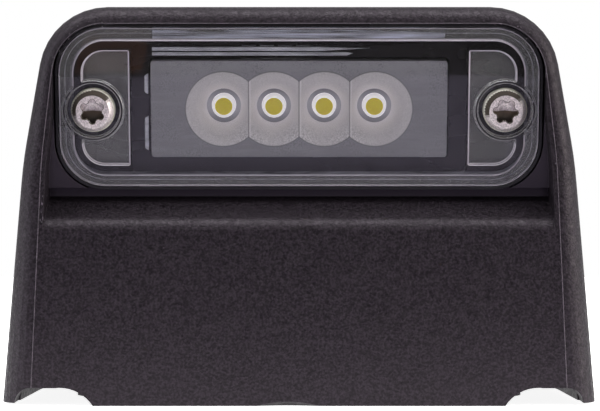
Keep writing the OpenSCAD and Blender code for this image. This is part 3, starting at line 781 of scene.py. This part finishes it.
class LAMP_OT_parting_line(Operator):
    """Lays the flash of the parting line round the front face, with its crumbs and scuffs"""

    bl_idname = "lamp.parting_line"
    bl_label = "Parting line"

    def execute(self, context):
        settings = context.scene.lamp_housing
        line = copy_of("housing", "parting_line", flatten=0.0)

        def on_seam(edge):
            """The edges of the front face and of the recess's upper corners."""
            points = [vertex.co for vertex in edge.verts]
            depth = max(point.y for point in points) - FRONT_Y
            if len(edge.link_faces) != 2 or depth > SEAM_DEPTH:
                return False
            turns = sorted(face.normal.y for face in edge.link_faces)
            low, high = sorted(point.z for point in points)
            if high - low < 0.00001 and high < FOOT_TOP:
                return False
            in_corner = low > CORNER_LOW and min(abs(point.x) for point in points) > CORNER_SIDE
            if in_corner and turns[0] < -0.6 and turns[1] > -0.35:
                return True
            return depth < 0.00002 and turns[0] < -0.9999 and -0.999 < turns[1] < -0.9 and low > SEAM_LOW

        select_edges(line, on_seam)
        select("INVERT")
        bpy.ops.mesh.delete(type="EDGE")
        go("OBJECT")
        path = [tuple(v.co) for v in line.data.vertices]
        bpy.ops.object.convert(target="CURVE")
        line.data.bevel_depth = settings.flash
        line.data.bevel_resolution = 2
        bpy.ops.object.convert(target="MESH")
        material = flash_plastic(settings)
        finish(line, (), material, 60.0)

        # Loose crumbs of the same flash
        deselect()
        chance = random.Random(7)
        crumbs = []
        for _ in range(settings.crumbs):
            x, y, z = chance.choice(path)
            radius = chance.uniform(0.00005, 0.00013)
            bpy.ops.mesh.primitive_ico_sphere_add(
                subdivisions=1, radius=radius,
                location=(x + chance.gauss(0, 0.0001), y, z + chance.gauss(0, 0.0006)),
                rotation=(chance.uniform(0, 3), chance.uniform(0, 3), 0))
            crumbs.append(named("crumb"))

        def met(start, direction):
            """The point where a ray meets the hood."""
            hit, spot, _, _ = bpy.data.objects["hood"].ray_cast(start, direction)
            if not hit:
                raise RuntimeError("a ray misses the hood")
            return spot

        for across, up, wide, high in SCUFFS:
            spot = met((across / 1000, FRONT_Y - 0.1, up / 1000), (0, 1, 0))
            bpy.ops.mesh.primitive_ico_sphere_add(
                subdivisions=2, radius=0.001, location=spot,
                scale=(wide, SCUFF_HEIGHT, high), rotation=(0, chance.uniform(-0.5, 0.5), 0))
            crumbs.append(named("scuff"))
        # What is left of the moulding's gate, on the middle of the top
        bpy.ops.mesh.primitive_uv_sphere_add(
            segments=16, ring_count=8, radius=0.001,
            location=met((0.0003, FRONT_Y + 0.006, 0.1), (0, 0, -1)), scale=GATE_SCALE)
        crumbs.append(named("gate"))
        crumbs = joined(crumbs, "flash_crumbs")
        apply_place()
        finish(crumbs, (), material)
        return {"FINISHED"}


class LAMP_OT_tray(Operator):
    """Gives the tray and its seal their plastics"""

    bl_idname = "lamp.tray"
    bl_label = "Tray"

    def execute(self, context):
        paint(smooth_black(context.scene.lamp_insert), "lamp_tray")
        paint(dull("Seal rubber", (0.02, 0.02, 0.021), 0.75, 0.0003, 0.00001), "insert_seal")
        return {"FINISHED"}


class LAMP_OT_cover(Operator):
    """Makes the clear cover with its moulded edges rounded"""

    bl_idname = "lamp.cover"
    bl_label = "Clear cover"

    def execute(self, context):
        settings = context.scene.lamp_insert
        cover = copy_of("clear_cover", "cover", 0.00006, 0.5)
        # The raised field's long edges move apart, less so towards its corners
        for vertex in cover.data.vertices:
            spot = on_insert(vertex.co)
            past = Vector((abs(spot.x), abs(spot.y))) - FIELD_HALF + Vector((FIELD_R, FIELD_R))
            off = Vector((max(past.x, 0), max(past.y, 0))).length + min(max(past.x, past.y), 0) - FIELD_R
            near_face = OUTWARD.dot(vertex.co - INSERT_MIDDLE) > -0.0007
            if near_face and abs(off) < 0.00012 and past.y > 0:
                rise = settings.field_rise * min(1, past.y / FIELD_R)
                vertex.co += UPWARD * math.copysign(rise, spot.y)
        round_edges(cover, settings.cover_edge, 3, 40.0)
        top = outermost(cover)

        def haze(face):
            """Full painted highlight on rounded edges, less round the screws, and a trace of haze on the
            lowered border and pockets.
            """
            turn = abs(face.normal.dot(OUTWARD))
            if 0.08 < turn < 0.97:
                return 0.4 if from_screw(face.center) < COUNTERBORE_R else 1.0
            lowered = 0.0003 < top - OUTWARD.dot(face.center) < 0.0012
            return settings.floor_haze if turn > 0.97 and lowered else 0.0

        mark_faces(cover, "edge", haze)
        finish(cover, ["clear_cover"], clear_plastic(settings), 28.0)
        return {"FINISHED"}


class LAMP_OT_screws(Operator):
    """Makes the pan-head screws with worn, rounded edges"""

    bl_idname = "lamp.screws"
    bl_label = "Cover screws"

    def execute(self, context):
        settings = context.scene.lamp_metal
        screws = copy_of("cover_screws", "screws", 0.00003, 0.3)
        flat = outermost(screws)
        steps = (
            (0.0, 0.0), (SOCKET_R, SOCKET_R * settings.socket_out),
            (FLAT_R, FLAT_R * settings.flat_out), (HEAD_R, HEAD_R),
        )

        def widened(radius):
            """Where a radius of the head goes when its socket and its flat are made wider."""
            for (low, low_out), (high, high_out) in zip(steps, steps[1:]):
                if radius <= high:
                    return low_out + (high_out - low_out) * (radius - low) / (high - low)
            return radius

        def drop(point):
            """How far a point lies under the flats of the heads."""
            return flat - OUTWARD.dot(point)

        for vertex in screws.data.vertices:
            side = 1 if vertex.co.x > 0 else -1
            axis = from_insert(side * SCREW_SPOT.x, SCREW_SPOT.y, 0)
            arm = vertex.co - axis
            height = OUTWARD.dot(arm)
            across = arm - OUTWARD * height
            if drop(vertex.co) < HEAD_DEPTH and across.length > 0.000001:
                across *= widened(across.length) / across.length
            turn = Matrix.Rotation(math.radians(SOCKET_TURN[side]), 3, OUTWARD)
            vertex.co = axis + OUTWARD * height + turn @ across

        def at_mouth(edge):
            """The edges between a socket and its head's flat."""
            points = [vertex.co for vertex in edge.verts]
            level = all(drop(point) < 0.00001 for point in points)
            close = all(from_screw(point) < MOUTH_REACH for point in points)
            return level and close and len(edge.link_faces) == 2 and edge.calc_face_angle() > 0.7

        select_edges(screws, at_mouth)
        bpy.ops.mesh.bevel(offset=MOUTH_BEVEL, segments=2, affect="EDGES", clamp_overlap=True)
        go("OBJECT")
        round_edges(screws, 0.00005, 2, 40.0)
        # The side of the shoulder that takes the painted shade
        shaded_side = (UPWARD * 0.9 - ALONG * 0.43).normalized()

        def painted_shade_faces(face):
            """Painted shade on the shoulder's upper left, and on the fine edge of the socket's mouth."""
            turn = face.normal.dot(OUTWARD)
            if from_screw(face.center) < FLAT_R - 0.000008:
                return 0.05 < turn < 0.98 and drop(face.center) < 0.00012
            side = face.normal.dot(shaded_side) / max(0.1, math.sqrt(max(0.0, 1 - turn * turn)))
            return max(0.0, min(1.0, 4 * side - 0.2)) if 0.4 < turn < 0.985 else 0.0

        def in_socket(face):
            return 0.0001 < drop(face.center) < SOCKET_DEPTH and from_screw(face.center) < MOUTH_REACH

        mark_faces(screws, "tarnish", painted_shade_faces)
        mark_faces(screws, "socket", in_socket)
        mark_faces(screws, "rim", lambda face: abs(face.normal.dot(OUTWARD)) < 0.4 and not in_socket(face))
        finish(screws, ["cover_screws"], pitted_steel(settings), 35.0)
        return {"FINISHED"}


class LAMP_OT_reflector(Operator):
    """Makes the frosted reflector with the polished throats of its bowls"""

    bl_idname = "lamp.reflector"
    bl_label = "Reflector"

    def execute(self, context):
        block = copy_of("reflector", "reflector_block", 0.00002, 0.3)
        round_edges(block, 0.00007, 2, 50.0)
        top = outermost(block)

        def in_throat(face):
            """The deep, outward faces within the reach of the bowls."""
            deep = top - OUTWARD.dot(face.center) > THROAT_LEVEL
            return deep and abs(face.center.x) < BOWLS_HALF and face.normal.dot(OUTWARD) > 0.02

        mark_faces(block, "throat", in_throat)
        finish(block, ["reflector"], frosted_grey(context.scene.lamp_insert), 30.0)
        return {"FINISHED"}


class LAMP_OT_sources(Operator):
    """Makes the white light sources and their phosphor with rounded rims"""

    bl_idname = "lamp.sources"
    bl_label = "Light sources"

    def execute(self, context):
        settings = context.scene.lamp_insert
        kinds = (
            ("led", "source", 0.00004, 30.0, "led_white", white_body(settings)),
            ("phosphor", "phosphor_dome", 0.00005, 50.0, "phosphor_yellow", yellow_phosphor(settings)),
        )
        for index in range(1, 5):
            for node, name, radius, angle, slot, material in kinds:
                piece = copy_of(f"{node}_{index}", f"{name}_{index}", 0.00001, 0.3)
                round_edges(piece, radius, 2, angle)
                finish(piece, [f"{node}_{index}"], material, 35.0)
        return {"FINISHED"}


class LAMP_OT_trim(Operator):
    """Lays the seams under the cover's border, a painted reflection under its top border, and the ribs,
    dashes and tabs by the reflector
    """

    bl_idname = "lamp.trim"
    bl_label = "Weld seam and ribs"

    def execute(self, context):
        settings = context.scene.lamp_insert
        for name, shade, *shape in (
            ("weld_seam", settings.seam, 0.0349, 0.0105, 0.0053, 0.00045, -0.00212),
            ("seam_lip", (0.3, 0.29, 0.34), 0.03575, 0.01135, 0.0061, 0.00011, -0.0021),
        ):
            material = streaked(name.replace("_", " ").capitalize(), shade)
            finish(ring_strip(name, *shape), (), material)
        # A bluish, streaky strip under the cover's top border: a painted reflection
        upper = bar("top_reflection_strip", [
            (-0.0223, 0.0104), (0.0219, 0.0104), (0.0222, 0.0107), (0.0222, 0.0118), (-0.0223, 0.0118),
        ], -0.00215, 0.00005)
        material = streaked("Painted top reflection", (0.25, 0.26, 0.33), 0.02, 3.0, 0.045)
        finish(upper, (), material)

        # The ribs' pale colour is a painted glint of the bright streaks over the reflector
        light = streaked("Rib painted glint", (0.74, 0.74, 0.8), 0.7, 1.25)
        for name, low, high, right, tip in (
            ("rib_upper", 0.0014, 0.00204, 0.0032, 0.0109),
            ("rib_lower", 0.00067, 0.00121, 0.0073, 0.0083),
        ):
            rib = bar(name, [
                (BLOCK_LEFT, BLOCK_TOP + low), (right, BLOCK_TOP + low),
                (tip, BLOCK_TOP + (low + high) / 2 + 0.0001),
                (right, BLOCK_TOP + high), (BLOCK_LEFT, BLOCK_TOP + high),
            ], RIB_LEVEL, 0.0004)
            finish(rib, (), light)

        # Short dashes over and under the ribs, made once and copied along
        left, right, low, high = -0.00877, -0.0066, BLOCK_TOP + 0.00213, BLOCK_TOP + 0.00227
        row = [bar("rib_dashes", [(left, low), (right, low), (right, high), (left, high)], RIB_LEVEL, 0.0002)]
        for index in range(1, 8):
            dash = bpy.data.objects.new("dash", row[0].data.copy())
            context.scene.collection.objects.link(dash)
            for vertex in dash.data.vertices:
                vertex.co += ALONG * DASH_STEP * (index % 4) - UPWARD * DASH_DROP * (index // 4)
            row.append(dash)
        finish(joined(row, "rib_dashes"), (), streaked("Rib dash", (0.2, 0.2, 0.21)))

        bright = streaked("Side tab", (0.82, 0.82, 0.9), 0.9, 1.1)
        left, right, slant = -0.0237, -0.0231, 0.0004
        for index, (low, high) in enumerate(((0.00164, 0.00492), (-0.0071, -0.00164)), 1):
            corners = [(left, low + slant), (right, low), (right, high), (left, high - slant)]
            finish(bar(f"side_tab_{index}", corners, RIB_LEVEL, 0.0006), (), bright)
        return {"FINISHED"}


class LAMP_OT_inner_parts(Operator):
    """Finishes the board, its components, the inlet, the vent and the inserts"""

    bl_idname = "lamp.inner_parts"
    bl_label = "Board, inlet and inserts"

    def execute(self, context):
        settings = context.scene.lamp_metal
        epoxy = ("driver_chip", "input_diode", "surge_suppressor", "resistor_1", "resistor_2")
        for nodes, *look in (
            (("circuit_board",), "Solder mask", (0.02, 0.1, 0.045), 0.35, 0.0006, 0.000006),
            (epoxy, "Moulded epoxy", (0.015, 0.015, 0.016), 0.5, 0.0002, 0.000008),
            (("capacitor_1", "capacitor_2"), "Sintered ceramic", (0.3, 0.2, 0.11), 0.45, 0.0002, 0.000006),
            (("cable_grommet",), "Grommet rubber", (0.018, 0.018, 0.019), 0.7, 0.0003, 0.00001),
            (("vent_membrane",), "Vent membrane", (0.68, 0.68, 0.68), 0.8, 0.0002, 0.00002),
        ):
            paint(dull(*look), *nodes)
        paint(metal("Tinned metal", settings.tinned, 0.3, 0.0005), "wire_posts")
        paint(metal("Brass", settings.brass, 0.28, 0.0004), "fixing_inserts", "screw_inserts")
        return {"FINISHED"}


class LAMP_OT_stage(Operator):
    """Sets the floor, the soft light and the camera"""

    bl_idname = "lamp.stage"
    bl_label = "Stage"

    def execute(self, context):
        settings = context.scene.lamp_stage
        deselect()
        bpy.ops.mesh.primitive_circle_add(vertices=96, radius=FLOOR_R, fill_type="NGON", location=(0, 0, 0))
        floor = named("floor")
        floor.data.materials.append(matt(
            "Pale floor", settings.floor, 0.4, 0.985, 1.01, Specular_IOR_Level=0.1,
            Emission_Color=WHITE, Emission_Strength=settings.glow))

        # Cards on the floor in front, for what the leaning cover mirrors; the small one lies on the others
        for name, near, deep, left, wide, rise, shade in (
            ("grey_card", 0.033, 0.102, -0.6, 1.2, 0.0005, settings.card),
            ("dark_card", 0.135, 0.4, -0.6, 1.2, 0.0005, settings.dark_card),
            ("warm_card", 0.137, 0.026, -0.0485, 0.0145, 0.0006, settings.warm_card),
        ):
            card = plate(name, wide, deep, (left + wide / 2, FRONT_Y - near - deep / 2, rise))
            card.data.materials.append(matt(name.replace("_", " "), shade, 0.01, 0.97, 1.03))
            card.visible_camera = False

        # The surround: soft light that differs from front to back, and plain white to the camera
        graph = Graph(bpy.data.worlds.new("Soft surround"))
        context.scene.world = graph.owner
        depth = graph.node("SeparateXYZ", Vector=graph.node("TexCoord").outputs["Generated"]).outputs["Y"]
        lit = graph.tree.nodes["Background"]
        graph.feed(lit.inputs["Strength"], graph.remap(depth, -0.4, 0.6, settings.front, settings.back))
        graph.feed(lit.inputs["Color"], (1.0, 0.985, 1.0))
        seen = graph.node("Background", Color=WHITE, Strength=1.0)
        blend = graph.node("MixShader", Fac=graph.node("LightPath").outputs["Is Camera Ray"])
        for index, part in ((1, lit), (2, seen)):
            graph.feed(blend.inputs[index], part.outputs[0])
        graph.feed(graph.tree.nodes["World Output"].inputs["Surface"], blend.outputs[0])

        def softbox(name, spot, aim, wide, high, radiance, shade=WHITE):
            """A soft light at a place, turned to its aim."""
            bpy.ops.object.light_add(type="AREA", location=spot)
            light = context.object
            light.name = name
            light.data.shape = "RECTANGLE"
            light.data.size = wide
            light.data.size_y = high
            light.data.energy = radiance * math.pi * wide * high
            light.data.color = shade
            light.visible_camera = False
            light.rotation_euler = (Vector(aim) - Vector(spot)).to_track_quat("-Z", "Y").to_euler()

        middle = (0.0, -0.01, 0.04)
        softbox("overhead", (0.0, -0.12, 0.5), middle, 0.8, 0.22, settings.overhead)
        softbox("right_box", (0.42, -0.14, 0.12), middle, 0.25, 0.35, settings.right, (1.0, 0.96, 0.88))
        softbox("left_box", (-0.42, -0.12, 0.14), middle, 0.25, 0.35, settings.left, (0.95, 0.97, 1.0))
        softbox("back_box", (0.0, 0.45, 0.5), (0.0, 0.1, 0.0), 1.4, 0.4, settings.rear)

        spot = (0.00015, FRONT_Y - settings.distance, settings.eye_level)
        bpy.ops.object.camera_add(location=spot, rotation=(math.radians(90), 0, 0))
        camera = context.object
        camera.name = "camera"
        camera.data.sensor_width = SENSOR
        camera.data.lens = settings.pixels * SENSOR
        camera.data.clip_start = 0.01
        camera.data.clip_end = 20
        context.scene.camera = camera
        context.scene.view_settings.view_transform = "Standard"
        return {"FINISHED"}


class LAMP_PT_panel(Panel):
    """Lists the lamp's steps and sizes"""

    bl_idname = "LAMP_PT_panel"
    bl_label = "Number plate lamp"
    bl_space_type = "VIEW_3D"
    bl_region_type = "UI"
    bl_category = "Lamp"

    def draw(self, context):
        for operator in OPERATORS:
            self.layout.operator(operator.bl_idname)
        for name in SETTINGS:
            group = getattr(context.scene, name)
            column = self.layout.column(heading=name)
            for key in group.__annotations__:
                column.prop(group, key)


OPERATORS = (
    LAMP_OT_housing,
    LAMP_OT_parting_line,
    LAMP_OT_tray,
    LAMP_OT_cover,
    LAMP_OT_screws,
    LAMP_OT_reflector,
    LAMP_OT_sources,
    LAMP_OT_trim,
    LAMP_OT_inner_parts,
    LAMP_OT_stage,
)
SETTINGS = {
    "lamp_housing": LampHousingSettings,
    "lamp_insert": LampInsertSettings,
    "lamp_metal": LampMetalSettings,
    "lamp_stage": LampStageSettings,
}


def register():
    for group in SETTINGS.values():
        bpy.utils.register_class(group)
    for name, group in SETTINGS.items():
        setattr(Scene, name, PointerProperty(type=group))
    for operator in OPERATORS:
        bpy.utils.register_class(operator)
    bpy.utils.register_class(LAMP_PT_panel)


def unregister():
    bpy.utils.unregister_class(LAMP_PT_panel)
    for operator in reversed(OPERATORS):
        bpy.utils.unregister_class(operator)
    for name, group in reversed(SETTINGS.items()):
        delattr(Scene, name)
        bpy.utils.unregister_class(group)


def main():
    """Makes every piece in order."""
    register()
    for operator in OPERATORS:
        group, name = operator.bl_idname.split(".")
        getattr(getattr(bpy.ops, group), name)()
    deselect()


if __name__ == "__main__":
    main()
